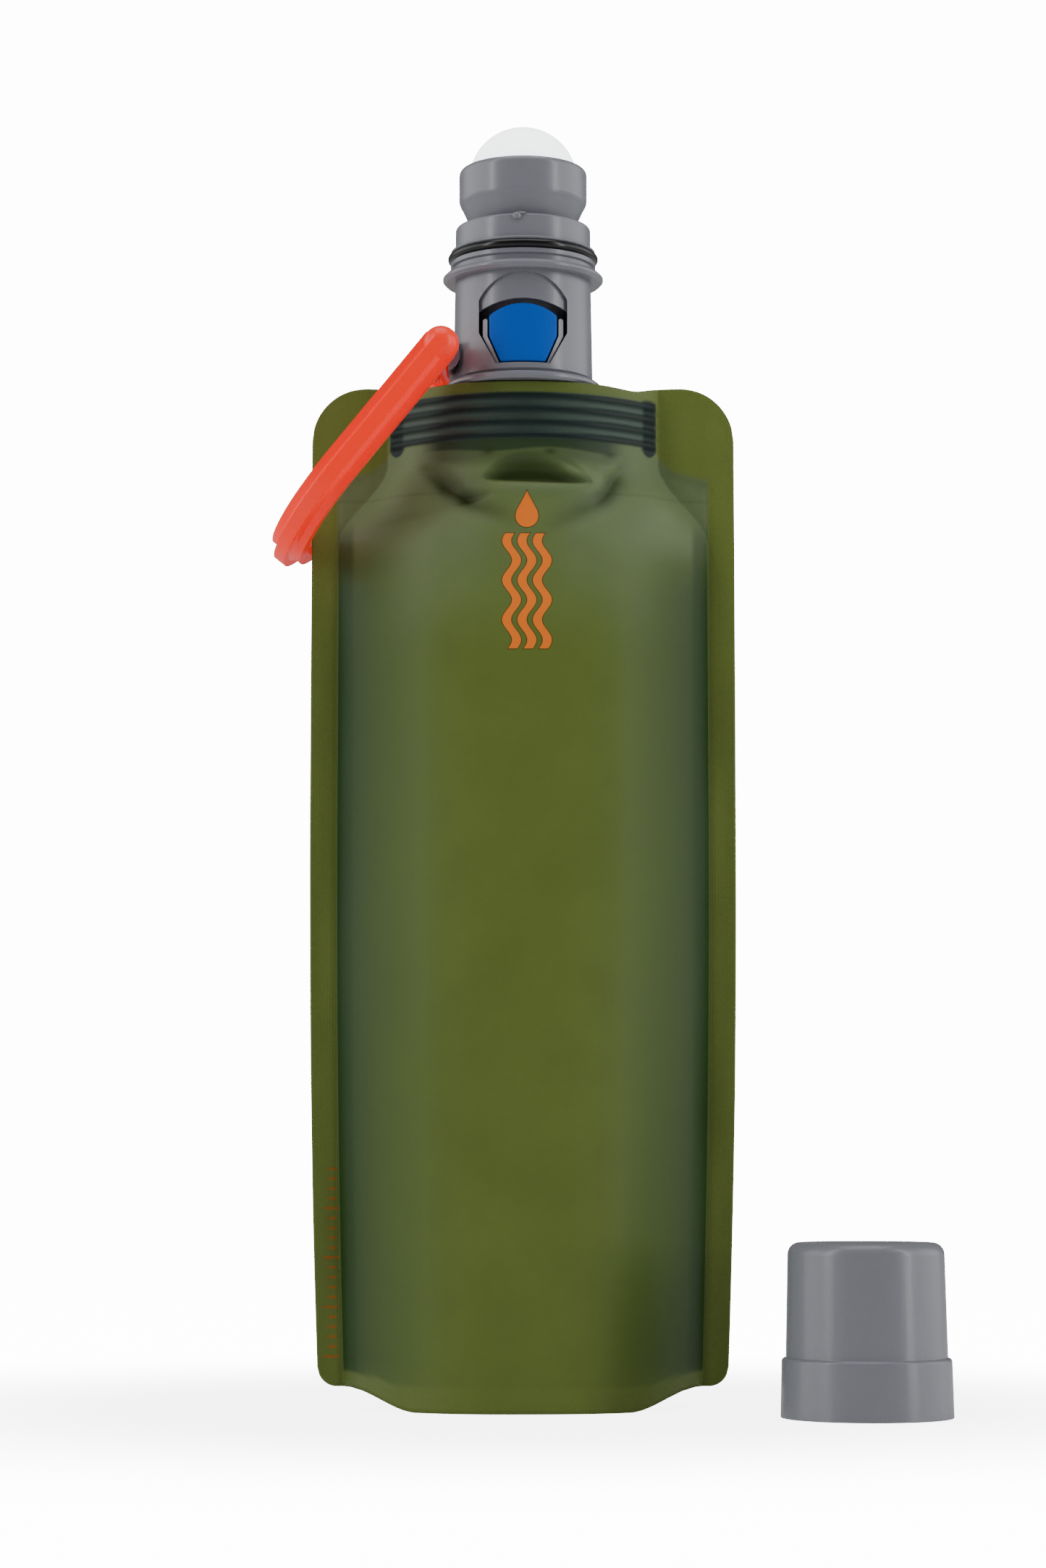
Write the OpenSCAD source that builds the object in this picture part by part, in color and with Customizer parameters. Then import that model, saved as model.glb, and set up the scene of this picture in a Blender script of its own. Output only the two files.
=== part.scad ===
// Collapsible stand-up water bottle: a welded film pouch with a boat-shaped spout,
// a quick-release head with a roller ball, a swinging carabiner and a loose over-cap.
// Millimetres, +Z up. The origin is on the floor, under the neck's axis. The front faces -Y.

/* [Pouch] */
// Width of the pouch across its side seals
pouch_w = 110; // [91:1:132]
// Height of the pouch's top edge above the floor
pouch_h = 262; // [218:1:315]
// Depth of the filled pouch, front to back
pouch_depth = 55; // [45:1:66]
// Width of each side seal
seal_w = 6.8; // [5:0.1:9]
// Thickness of the film
film_t = 0.5; // [0.4:0.05:0.7]
// Radius of the top corners
top_corner_r = 14; // [10:0.5:18]
// Radius of the bottom corners
bottom_corner_r = 5; // [3:0.5:7]
// Rise of the bottom corners above the floor
corner_lift = 5.4; // [3:0.1:7]
// Half length of the flat foot that meets the floor
foot_half = 28; // [22:1:34]

/* [Spout fitment] */
// Length of the boat that is welded between the panels
boat_len = 68; // [57:1:74]
// Thickness of the boat at its middle
boat_t = 33; // [31:0.5:40]
// Height of the boat
boat_h = 15.5; // [13:0.5:19]
// Height of the plain skirt below the boat's ribs
skirt_h = 3.9; // [3.2:0.1:4.7]
// Number of ribs on the boat
rib_count = 4; // [3:1:5]
// Radius of the spout tube
spout_r = 12.8; // [12.4:0.1:13.2]
// Radius of the spout's bore
spout_bore_r = 9.2; // [8.4:0.1:9.8]
// Radius of the base ring above the pouch
base_ring_r = 20.45; // [19:0.05:24]
// Height of the base ring
base_ring_h = 1.9; // [1.6:0.1:2.4]

/* [Collar] */
// Radius of the collar at its foot
collar_r = 18.2; // [17.8:0.1:21]
// Height of the collar
collar_h = 26.5; // [24:0.5:31]
// Wall of the collar
collar_wall = 2.1; // [1.6:0.1:2.4]
// Gap between the base ring and the collar
collar_gap = 0.5; // [0.3:0.1:1]
// Half width of the button window at its shoulders
window_half = 11.4; // [10.8:0.1:12]
// Half width of the button window at its foot
window_foot_half = 7; // [6.6:0.1:8]
// Gap between the button and the window
button_gap = 2.68; // [2.4:0.01:3]
// Travel of the button
button_travel = 1.6; // [1:0.1:1.8]

/* [Eyelet] */
// Distance from the neck's axis to the eyelet's axis
eyelet_x = 21; // [20.6:0.1:25]
// Height of the eyelet's axis above the collar's foot
eyelet_z = 5.8; // [5.2:0.1:8]
// Length of the eyelet sleeve
eyelet_len = 20; // [16:0.5:24]
// Radius of the eyelet sleeve at its front end
eyelet_r = 4.65; // [4.3:0.05:5.1]

/* [Head] */
// Radius of the flange that the over-cap stops on
flange_r = 21; // [19.6:0.1:25]
// Thickness of the flange
flange_t = 2.2; // [1.8:0.1:2.7]
// Radius of the ring under the seal
ring_r = 19; // [18.4:0.1:19.4]
// Outer radius of the black seal
seal_r = 19.66; // [19.4:0.01:20.2]
// Section diameter of the black seal
seal_d = 2.4; // [2:0.1:2.6]
// Radius of the seat that the over-cap slides on
step_r = 17.68; // [17:0.02:18]
// Height of that seat
step_h = 6.4; // [5.4:0.1:7.7]

/* [Roller ball] */
// Diameter of the roller ball
ball_d = 28.6; // [26:0.1:29.4]
// Wall of the housing round the ball
housing_wall = 2.3; // [1.9:0.05:2.6]
// Height of the ball's centre above the over-cap's seat
ball_rise = 12.6; // [12.2:0.1:13.2]
// Clearance round the ball
ball_clear = 0.15; // [0.1:0.01:0.25]

/* [Carabiner] */
// Length from the hinge bar's axis to the loop's far end
clip_len = 67.5; // [60:0.5:81]
// Width of the carabiner over its legs
clip_w = 53.9; // [50:0.1:64]
// Width of the carabiner's section
clip_d = 9.3; // [8:0.1:9.6]
// Radius of the hinge bar
bar_r = 2.75; // [2.3:0.05:3]
// Angle that the carabiner is swung out from where its loop touches the pouch's edge
clip_lift = 0.98; // [0.5:0.01:22]
// Length of the gate, from its pin to its tip
gate_len = 28; // [23:0.5:30]
// Radius of the gate's pin
gate_pin_r = 1.2; // [1:0.05:1.4]

/* [Over-cap] */
// Height of the over-cap
cap_h = 42.5; // [42:0.5:51]
// Height of its wider lower band
cap_band_h = 14.5; // [12:0.5:17]
// Wall of the over-cap
cap_wall = 1.4; // [1.2:0.1:1.7]
// Distance of the loose over-cap to the right of the neck's axis
cap_x = 84; // [80:1:100]
// Distance of the loose over-cap in front of the neck's axis
cap_y = 38; // [30:1:46]

/* [Clearances] */
// Clearance between parts that slide
slide_gap = 0.3; // [0.2:0.05:0.35]
// Clearance of a pin that runs in a hole
pin_gap = 0.08; // [0.05:0.01:0.1]
// Clearance of a seal drawn just short of its wall
seal_gap = 0.03; // [0.02:0.01:0.06]

/* [Hidden] */
$fn = 96;
eps = 0.01;

// Heights up the neck, from the pouch to the ball
ring_z0 = pouch_h;
ring_z1 = ring_z0 + base_ring_h;
collar_z0 = ring_z1 + collar_gap;
collar_z1 = collar_z0 + collar_h;
flange_z1 = collar_z1 + flange_t;
groove_h = 1.7;
ring_h = 1.5;
seal_z0 = flange_z1 + groove_h + ring_h;
lip_h = 0.8;
lip_r = ring_r - 0.1;
step_z0 = seal_z0 + seal_d + lip_h;
foot_fillet = 0.4;
step_z1 = step_z0 + step_h;
ball_z = step_z1 + ball_rise;
ball_r = ball_d / 2;
housing_r = ball_r + ball_clear + housing_wall;

// Pouch outline and depth
half_w = pouch_w / 2;
inner_w = half_w - seal_w;
belly = pouch_depth / 2 - film_t;
belly_power = 2.6;
boat_z1 = ring_z0 - 3.5;
boat_z0 = boat_z1 - boat_h;
boat_half = boat_len / 2;
boat_arc_r = (boat_half * boat_half + boat_t * boat_t / 4) / boat_t;
film_gap = 0.3;
boat_tip_gap = 1.2;
boat_power = 2.2;
shoulder_z0 = boat_z0 - 46;
fin_r = 1.3;
fin_drop = 1.8;
rib_h = 1.3;
rib_z0 = boat_z0 + skirt_h;
rib_pitch = (boat_z1 - rib_z0 - rib_h) / (rib_count - 1);
cols = 36;
rows = 26;

// Collar, latch and button
collar_top_r = collar_r - 0.43;
collar_in_r = collar_top_r - collar_wall + 0.35;
floor_h = 2.6;
floor_r = spout_r + slide_gap;
window_z0 = collar_z0 + 2;
window_knee_z = collar_z0 + 10.5;
window_corner_z = collar_z0 + 16.4;
window_top_z = collar_z0 + 19.1;
relief_top_z = collar_z1 - 0.4;
relief_depth = 1;
button_half = window_half - button_gap;
button_foot_half = window_foot_half - button_gap + 1.4;
button_face_r = collar_r - 0.3;
button_back_r = collar_in_r - 0.9;
plate_z0 = collar_z0 + 6.2;
plate_t = 2;
plate_gap = 0.2;
ledge_t = 1;
groove_depth = 1.2;
leaf_t = 0.2;
leaf_gap = 0.04;
spout_top = collar_z1 - 4.5;

// Head
plug_r = spout_bore_r - 0.25;
plug_wall = 2.95;
plug_bore_r = plug_r - plug_wall;
plug_z0 = collar_z0 + 4;
socket_r = housing_r - 4.3;
plug_ring_r = 0.9;
liner_t = 0.8;

// Carabiner, in its own frame: hinge bar along Y, loop hanging along -Z
clip_r = clip_d / 2;
leg_y = clip_w / 2 - clip_r;
arc_z = -(clip_len - clip_r - leg_y);
flange_w = 3.4;
gate_z = -8;
gate_tip_z = gate_z - gate_len;
loop_reach = clip_len - clip_r - flange_w / 2;
clip_angle = clip_lift + atan2(clip_r, loop_reach)
    + asin((half_w - eyelet_x) / norm([loop_reach, clip_r]));
cheek_gap = 2;
tongue_half = 1;
cheek_out = 4.2;
spring_wire_r = 0.35;

// Over-cap
cap_in_r = step_r + 0.22;
cap_band_in_r = seal_r + 0.1;

function smooth(t) = let (u = min(1, max(0, t))) u * u * (3 - 2 * u);
function mix(a, b, t) = a + (b - a) * t;
function corner(r, over) = over <= 0 ? 0 : r - sqrt(max(0, r * r - over * over));

// Lowest and highest point of the film at a place across its width
function foot_z(x) = corner_lift * smooth((abs(x) - foot_half) / (half_w - foot_half - 8));
function film_z0(x) = foot_z(x) + corner(bottom_corner_r, abs(x) - (half_w - bottom_corner_r));
function film_z1(x) = pouch_h - 0.3 - corner(top_corner_r, abs(x) - (half_w - top_corner_r));
// The sides draw in a little towards the foot
function side(z) = 1 - 0.055 * pow(1 - min(1, z / 150), 2);

// Half depth of the inside: a full belly that closes on the boat at the top
function close_t(z, from) = smooth((z - from) / (boat_z0 - from));
function inside_y(x, z) = let (
        t = close_t(z, shoulder_z0),
        depth = mix(belly * (1 - 0.16 * smooth((z - 90) / 130)), boat_t / 2 + film_gap, t),
        width = mix(inner_w, boat_half + boat_tip_gap, close_t(z, boat_z0 - 22)),
        power = mix(belly_power, boat_power, t))
    depth * max(0, 1 - pow(abs(x) / width, power));

// A closed sheet between two grids of points
module sheet(outer, inner, n, m) {
    pts = concat(outer, inner);
    k = n * m;
    polyhedron(points = pts, faces = concat(
        [for (j = [0:m - 2], i = [0:n - 2]) let (a = j * n + i) each
            [[a, a + 1, a + n + 1], [a, a + n + 1, a + n]]],
        [for (j = [0:m - 2], i = [0:n - 2]) let (a = k + j * n + i) each
            [[a, a + n + 1, a + 1], [a, a + n, a + n + 1]]],
        [for (i = [0:n - 2]) each [[i, k + i, k + i + 1], [i, k + i + 1, i + 1]]],
        [for (i = [0:n - 2]) let (a = (m - 1) * n + i) each
            [[a, a + 1, k + a + 1], [a, k + a + 1, k + a]]],
        [for (j = [0:m - 2]) let (a = j * n) each [[a, a + n, k + a + n], [a, k + a + n, k + a]]],
        [for (j = [0:m - 2]) let (a = j * n + n - 1) each
            [[a, k + a, k + a + n], [a, k + a + n, a + n]]]));
}

function panel_grid(offset_y) = [for (j = [0:rows], i = [0:cols])
    let (x = half_w * (2 * i / cols - 1), z = mix(film_z0(x), film_z1(x), j / rows))
    [x * side(z), -inside_y(x, z) - offset_y, z]];

module panel() {
    sheet(panel_grid(film_t), panel_grid(0), cols + 1, rows + 1);
}

module front_panel() color("olivedrab") panel();
module back_panel() color("olivedrab") mirror([0, 1, 0]) panel();

gusset_cols = 24;
gusset_rows = 6;
gusset_half = inner_w - 2;
function gusset_grid(up) = [for (j = [0:gusset_rows], i = [0:gusset_cols])
    let (x = gusset_half * (2 * i / gusset_cols - 1), z = foot_z(x),
        y = (inside_y(x, z) - 0.12) * (2 * j / gusset_rows - 1))
    [x * side(z), y, z + up]];
module bottom_gusset() color("darkolivegreen")
    sheet(gusset_grid(0), gusset_grid(film_t), gusset_cols + 1, gusset_rows + 1);

// Plan of the boat: two arcs that meet in points
module boat_plan(grow) {
    intersection_for (s = [-1, 1])
        translate([0, s * (boat_arc_r - boat_t / 2)]) circle(r = boat_arc_r - grow);
}

module spout_fitment() color("gray") difference() {
    union() {
        translate([0, 0, boat_z0]) linear_extrude(skirt_h + eps) boat_plan(1.8);
        translate([0, 0, rib_z0]) linear_extrude(boat_z1 - rib_z0) boat_plan(0.8);
        for (i = [0:rib_count - 1]) translate([0, 0, rib_z0 + i * rib_pitch])
            linear_extrude(rib_h) boat_plan(0.1);
        for (s = [-1, 1]) translate([s * (boat_half - fin_r - 0.4), 0, rib_z0 - fin_drop])
            cylinder(r = fin_r, h = boat_z1 - rib_z0 + fin_drop, $fn = 32);
        translate([0, 0, boat_z0]) cylinder(r = spout_r + 0.9, h = ring_z1 - boat_z0 - eps);
        rotate_extrude() polygon([[spout_r - 1, ring_z0], [base_ring_r - 0.6, ring_z0],
            [base_ring_r, ring_z0 + 0.6], [base_ring_r, ring_z1 - 0.6],
            [base_ring_r - 0.6, ring_z1], [spout_r - 1, ring_z1]]);
        translate([0, 0, ring_z0]) cylinder(r = spout_r, h = spout_top - ring_z0);
    }
    translate([0, 0, boat_z0 - 1]) cylinder(r = spout_bore_r, h = spout_top - boat_z0 + 2);
    translate([0, 0, plate_z0 - 0.3]) ring_cut(spout_r + 1, spout_r - groove_depth, plate_t + 0.6);
}

module ring_cut(outer, inner, h) difference() {
    cylinder(r = outer, h = h);
    translate([0, 0, -1]) cylinder(r = inner, h = h + 2);
}

module torus(major, minor) rotate_extrude() translate([major, 0]) circle(r = minor, $fn = 32);

// Soft washer on the spout's rim, under the head
module spout_seal() color("black") translate([0, 0, spout_top])
    ring_cut(spout_r - 0.5, spout_bore_r + 0.3, 1.2);

// Front outline of the window and of the button: shoulders, a tapered foot and an arched top
module arch(half, foot_half, z0, knee_z, corner_z, top_z) {
    rise = top_z - corner_z;
    arc_r = (half * half + rise * rise) / (2 * rise);
    intersection() {
        polygon([[-foot_half, z0], [foot_half, z0], [half, knee_z], [half, top_z],
            [-half, top_z], [-half, knee_z]]);
        translate([0, top_z - arc_r]) circle(r = arc_r);
    }
}

// Stands an XY outline up as a prism that reaches back from the front
module stand(y0, y1) translate([0, y1, 0]) rotate([90, 0, 0]) linear_extrude(y1 - y0) children();

module window_shape(shrink) arch(window_half - shrink, window_foot_half - shrink,
    window_z0 + shrink, window_knee_z, window_corner_z - shrink, window_top_z - shrink);
module button_shape() arch(button_half, button_foot_half, window_z0 + 0.4,
    window_knee_z - 1, window_corner_z - 1.6, window_top_z - 1.5);

module collar() color("dimgray") difference() {
    union() {
        rotate_extrude() polygon([[floor_r, collar_z0], [collar_r - 0.6, collar_z0],
            [collar_r, collar_z0 + 0.6], [collar_top_r, collar_z1], [collar_in_r, collar_z1],
            [collar_in_r, plate_z0 + plate_t + plate_gap + ledge_t],
            [spout_r + 0.6, plate_z0 + plate_t + plate_gap + ledge_t],
            [spout_r + 0.6, plate_z0 + plate_t + plate_gap],
            [collar_in_r, plate_z0 + plate_t + plate_gap], [collar_in_r, plate_z0 - plate_gap],
            [spout_r + 0.6, plate_z0 - plate_gap], [spout_r + 0.6, plate_z0 - plate_gap - ledge_t],
            [collar_in_r, plate_z0 - plate_gap - ledge_t], [collar_in_r, collar_z0 + floor_h],
            [floor_r, collar_z0 + floor_h]]);
        difference() {
            eyelet_body();
            translate([0, 0, collar_z0 - 1]) cylinder(r = collar_in_r + 0.6, h = collar_h);
        }
    }
    stand(-collar_r - 8, -spout_r + 2.5) window_shape(0);
    difference() {
        stand(-collar_r - 8, 0) arch(window_half, window_half, window_corner_z - 4,
            window_corner_z - 3, relief_top_z - 7, relief_top_z);
        translate([0, 0, collar_z0 - 1]) cylinder(r = collar_r - relief_depth - 0.2, h = collar_h + 2);
    }
    eyelet_place() translate([0, 0, -eyelet_len / 2 - 1])
        cylinder(r = bar_r + slide_gap, h = eyelet_len + 2);
    // The sleeve is split along its underside
    translate([-eyelet_x - bar_r * 0.6, -eyelet_len / 2 - 1, collar_z0 + eyelet_z - eyelet_r - 2])
        cube([bar_r * 1.2, eyelet_len + 2, eyelet_r + 2]);
}

module eyelet_place() translate([-eyelet_x, 0, collar_z0 + eyelet_z]) rotate([-90, 0, 0]) children();

module eyelet_body() {
    eyelet_place() translate([0, 0, -eyelet_len / 2])
        cylinder(r1 = eyelet_r, r2 = eyelet_r - 0.9, h = eyelet_len);
    translate([-eyelet_x, -eyelet_len / 2 + 2, collar_z0 + eyelet_z - 1])
        cube([eyelet_x - collar_in_r + 2, eyelet_len - 4, eyelet_r - 0.4]);
}

// Two slim arms, one each side of the button
module button_guide() color("gray") intersection() {
    union() for (s = [-1, 1]) mirror([s < 0 ? 1 : 0, 0, 0]) stand(-collar_r - 2, 0) {
        inner = button_half + 0.45;
        foot = button_foot_half + 0.3;
        arm_w = 1.2;
        foot_w = window_foot_half - foot - 0.1;
        top_z = window_knee_z + 3;
        polygon([[foot, window_z0], [foot + foot_w, window_z0], [inner + arm_w, window_knee_z - 1],
            [inner + arm_w, top_z], [inner, top_z], [inner, window_knee_z - 1]]);
        translate([inner + arm_w / 2, top_z]) circle(r = arm_w / 2, $fn = 32);
    }
    translate([0, 0, collar_z0]) ring_cut(collar_r - 0.7, button_back_r, collar_h);
}

// Leaf behind the latch plate, drawn pressed flat against the collar
module button_spring() color("silver") translate([0, 0, plate_z0 + 0.2]) intersection() {
    ring_cut(collar_in_r - leaf_gap, collar_in_r - leaf_gap - leaf_t, plate_t - 0.4);
    translate([-6, 0, 0]) cube([12, collar_r, plate_t]);
}

module release_button() color("royalblue") intersection() {
    stand(-collar_r - 2, 0) button_shape();
    translate([0, 0, collar_z0]) ring_cut(button_face_r, button_back_r, collar_h);
}

// Sliding plate round the spout; its hole is drawn in the released place
module latch_plate() color("slategray") translate([0, 0, plate_z0]) difference() {
    intersection() {
        union() {
            linear_extrude(plate_t) intersection() {
                circle(r = collar_in_r - slide_gap);
                translate([0, -button_travel]) circle(r = collar_in_r - slide_gap);
            }
            translate([-4.5, -collar_in_r, 0]) cube([9, 3, plate_t]);
        }
        cylinder(r = collar_in_r - slide_gap, h = plate_t);
    }
    translate([0, 0, -1]) linear_extrude(plate_t + 2) {
        for (y = [0, -button_travel]) translate([0, y]) circle(r = spout_r + 0.25);
        translate([-spout_r - 0.25, -button_travel])
            square([2 * spout_r + 0.5, button_travel]);
    }
    translate([0, 0, -1]) intersection() {
        cylinder(r = collar_r, h = plate_t + 2);
        translate([-button_half - 2, -collar_r, 0]) cube([2 * button_half + 4, collar_r - 9, plate_t + 2]);
        ring_cut(collar_r, button_back_r - 0.02, plate_t + 2);
    }
}

module valve_body() color("gray") difference() {
    rotate_extrude() polygon([[plug_bore_r, plug_z0], [plug_r - 0.6, plug_z0],
        [plug_r, plug_z0 + 0.6], [plug_r, spout_top + 1.5], [collar_in_r - 0.2, spout_top + 1.5],
        [collar_in_r - 0.2, collar_z1], [flange_r - 0.8, collar_z1], [flange_r, collar_z1 + 0.8],
        [flange_r, flange_z1 - 0.8], [flange_r - 0.8, flange_z1], [ring_r - 0.7, flange_z1],
        [ring_r - 0.7, flange_z1 + groove_h], [ring_r, flange_z1 + groove_h + 0.3],
        [ring_r, seal_z0], [seal_r - seal_d, seal_z0], [seal_r - seal_d, seal_z0 + seal_d],
        [lip_r - 0.3, seal_z0 + seal_d], [lip_r, seal_z0 + seal_d + 0.3], [lip_r, step_z0 - 0.2],
        [lip_r - 0.2, step_z0], [step_r + foot_fillet * 0.6, step_z0],
        [step_r + foot_fillet * 0.15, step_z0 + foot_fillet * 0.3], [step_r, step_z0 + foot_fillet],
        [step_r, step_z1 - 0.9], [step_r - 0.3, step_z1 - 0.3],
        [step_r - 1, step_z1], [socket_r, step_z1], [socket_r, step_z1 - 6],
        [plug_bore_r, step_z1 - 6]]);
    translate([0, 0, plug_z0 + 3]) torus(plug_r - plug_ring_r + 0.22, plug_ring_r);
}

module plug_o_ring() color("black") translate([0, 0, plug_z0 + 3])
    torus(plug_r - plug_ring_r + 0.22, plug_ring_r);

module cap_o_ring() color("black") translate([0, 0, seal_z0 + seal_d / 2])
    rotate_extrude() translate([seal_r - seal_d / 2, 0]) circle(r = seal_d / 2, $fn = 48);

// A cup round the ball: a cone that rounds into an upright wall, with a rounded rim
module ball_housing() color("gainsboro") difference() {
    waist_r = housing_r - 3.2;
    rim_z = ball_z + 3;
    rim_round = 1.6;
    wall_z = step_z1 + 7.4;
    cone_end = 0.75;
    rotate_extrude() polygon(concat(
        [[plug_bore_r + 0.5, step_z1 - 6], [socket_r - 0.05, step_z1 - 6],
            [socket_r - 0.05, step_z1 + 0.02], [waist_r, step_z1 + 0.02]],
        [for (i = [0:5]) let (t = i / 5)
            [waist_r + (housing_r - waist_r) * (cone_end + (1 - cone_end) * (2 * t - t * t)),
                mix(step_z1 + 5.2, wall_z, t)]],
        [for (i = [0:5]) let (a = 90 * i / 5)
            [housing_r - rim_round + rim_round * cos(a), rim_z - rim_round + rim_round * sin(a)]],
        [[plug_bore_r + 0.5, rim_z]]));
    translate([0, 0, ball_z]) sphere(r = ball_r + ball_clear);
    translate([0, 0, seat_z()]) torus(seat_major, seat_minor);
}

seat_major = 8.6;
seat_minor = 1;
function seat_z() = ball_z - sqrt(pow(ball_r + seat_minor + 0.1, 2) - seat_major * seat_major);
module ball_seat() color("white") translate([0, 0, seat_z()]) torus(seat_major, seat_minor);

module roller_ball() color("white") translate([0, 0, ball_z]) sphere(r = ball_r);

// Section of the carabiner: a ridge crossed by two side flanges
module clip_section() {
    square([clip_d, flange_w], center = true);
    square([flange_w, clip_d], center = true);
    circle(r = clip_r * 0.68, $fn = 48);
}

module clip_place() translate([-eyelet_x, 0, collar_z0 + eyelet_z]) rotate([0, clip_angle, 0])
    children();

module carabiner_frame() color("orangered") clip_place() difference() {
    nose_z = gate_tip_z - slide_gap;
    union() {
        translate([0, -leg_y, 0]) rotate([-90, 0, 0]) cylinder(r = bar_r, h = 2 * leg_y);
        for (s = [-1, 1]) translate([0, s * leg_y, 0]) sphere(r = clip_r, $fn = 64);
        translate([0, -leg_y, arc_z]) linear_extrude(-arc_z) clip_section();
        translate([0, 0, arc_z]) rotate([0, 90, 0]) rotate([0, 0, -90]) rotate_extrude(angle = 180)
            translate([leg_y, 0]) clip_section();
        translate([0, leg_y, arc_z]) linear_extrude(nose_z - arc_z) clip_section();
        translate([-1.3, leg_y - 2.4, arc_z]) cube([2.6, 4.8, nose_z - arc_z + 3]);
        // Cheeks that hold the gate's pin
        translate([-cheek_out, leg_y, gate_z]) rotate([0, 90, 0])
            cylinder(r = clip_r, h = 2 * cheek_out);
        translate([-cheek_out, leg_y - clip_r, gate_z]) cube([2 * cheek_out, clip_d, -gate_z]);
    }
    translate([-cheek_gap, leg_y - clip_r - 1, gate_z - clip_r - 1])
        cube([2 * cheek_gap, clip_d + 2, 2 * clip_r + 1]);
    translate([-clip_d, leg_y, gate_z]) rotate([0, 90, 0]) cylinder(r = gate_pin_r, h = 2 * clip_d);
}

module gate_pin() color("silver") clip_place() translate([-cheek_out, leg_y, gate_z])
    rotate([0, 90, 0]) cylinder(r = gate_pin_r, h = 2 * cheek_out);

// Torsion spring: a turn on each side of the gate's tongue
module gate_spring() color("silver") clip_place() for (s = [-1, 1])
    translate([s * 1.5, leg_y, gate_z]) rotate([0, 90, 0])
        torus(gate_pin_r + 0.1 + spring_wire_r, spring_wire_r);

module carabiner_gate() color("orangered") clip_place() difference() {
    tongue_r = clip_r - 0.45;
    body_top = gate_z - clip_r - 0.6;
    union() {
        translate([0, leg_y, gate_tip_z]) linear_extrude(body_top - gate_tip_z) clip_section();
        translate([-tongue_half, leg_y, gate_z]) rotate([0, 90, 0])
            cylinder(r = tongue_r, h = 2 * tongue_half);
        translate([-tongue_half, leg_y - 3, body_top - 2])
            cube([2 * tongue_half, 6, gate_z - body_top + 2]);
    }
    translate([-clip_d, leg_y, gate_z]) rotate([0, 90, 0])
        cylinder(r = gate_pin_r + pin_gap, h = 2 * clip_d);
    translate([-1.6, leg_y - clip_r - 1, gate_tip_z - 1]) cube([3.2, clip_d + 2, 4.4]);
}

module over_cap() color("dimgray") translate([cap_x, -cap_y, 0]) rotate_extrude() {
    band_r = cap_band_in_r + cap_wall;
    band_top_r = band_r - 0.35;
    body_r = cap_in_r + cap_wall + 0.5;
    top_r = body_r - 0.6;
    edge = 3;
    polygon(concat(
        [[cap_band_in_r, 0], [band_r, 0], [band_top_r, cap_band_h - 0.5],
            [band_top_r - 0.5, cap_band_h], [body_r, cap_band_h]],
        [for (i = [0:8]) let (a = 90 * i / 8)
            [top_r - edge + edge * cos(a), cap_h - edge + edge * sin(a)]],
        [[0, cap_h], [0, cap_h - cap_wall], [cap_in_r - 2, cap_h - cap_wall],
            [cap_in_r, cap_h - cap_wall - 2], [cap_in_r, cap_seat_h], [cap_band_in_r, cap_seat_h]]));
}
// The band clears the ring and the seal; above it the cap slides on the step
cap_seat_h = groove_h + ring_h + seal_d + lip_h + 0.4;

module cap_liner() color("lightgray") translate([cap_x, -cap_y, cap_h - cap_wall - liner_t])
    cylinder(r = cap_in_r - 3.2, h = liner_t);

front_panel();
back_panel();
bottom_gusset();
spout_fitment();
spout_seal();
collar();
button_guide();
button_spring();
release_button();
latch_plate();
valve_body();
plug_o_ring();
cap_o_ring();
ball_housing();
ball_seat();
roller_ball();
carabiner_frame();
gate_pin();
gate_spring();
carabiner_gate();
over_cap();
cap_liner();
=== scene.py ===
import math

import bmesh
import bpy
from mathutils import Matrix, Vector


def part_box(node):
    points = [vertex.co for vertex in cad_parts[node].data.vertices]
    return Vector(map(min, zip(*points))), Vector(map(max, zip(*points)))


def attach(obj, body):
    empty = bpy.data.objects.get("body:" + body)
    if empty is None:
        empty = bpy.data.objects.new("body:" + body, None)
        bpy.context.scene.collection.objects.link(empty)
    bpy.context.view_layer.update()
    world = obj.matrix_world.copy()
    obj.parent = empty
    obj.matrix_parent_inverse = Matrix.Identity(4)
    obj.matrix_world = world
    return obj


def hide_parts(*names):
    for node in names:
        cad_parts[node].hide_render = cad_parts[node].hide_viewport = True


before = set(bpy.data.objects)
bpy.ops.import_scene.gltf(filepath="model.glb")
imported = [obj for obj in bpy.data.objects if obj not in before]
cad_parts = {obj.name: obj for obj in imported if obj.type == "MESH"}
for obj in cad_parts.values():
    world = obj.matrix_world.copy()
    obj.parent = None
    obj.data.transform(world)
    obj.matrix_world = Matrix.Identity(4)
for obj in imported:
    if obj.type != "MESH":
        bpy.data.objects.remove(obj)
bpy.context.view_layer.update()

MM = 0.001

# ---------------------------------------------------------------- sizes, in millimetres
PANEL_LOW, PANEL_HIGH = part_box("front_panel")
BOAT_LOW, BOAT_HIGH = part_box("spout_fitment")
HALF_W = PANEL_HIGH[0] / MM
TOP_Z = PANEL_HIGH[2] / MM
DEPTH = -PANEL_LOW[1] / MM
BOAT_HALF = (BOAT_HIGH[0] - BOAT_LOW[0]) / 2 / MM
BOAT_T = 33              # the boat's thickness in its middle
BOAT_H = 15.5
BOAT_DOWN = 3.2          # from the panels' top edge to the boat's top
BOAT_Z0 = TOP_Z - BOAT_DOWN - BOAT_H
SKIRT_H = 3.9            # the boat's plain skirt, below its ribs
FILM = 0.4               # thickness of the film
CAD_FILM = 0.5
SEAL = 6.8               # width of the welds at the sides
INNER_W = HALF_W - SEAL
BELLY_POWER = 2.6        # how square the belly is across
NECK_POWER = 2.2
TOP_R = 14               # corner radii of the outline
BOTTOM_R = 5
LIFT = 5.4               # rise of the outline from the foot to the bottom corners
FOOT_HALF = 28           # half width of the flat foot
SWELL_Z = 185            # heights where the swells and the folds begin
FOLD_Z = 212
FINE_Z = 222             # the film's grid is finer above this height


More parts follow.
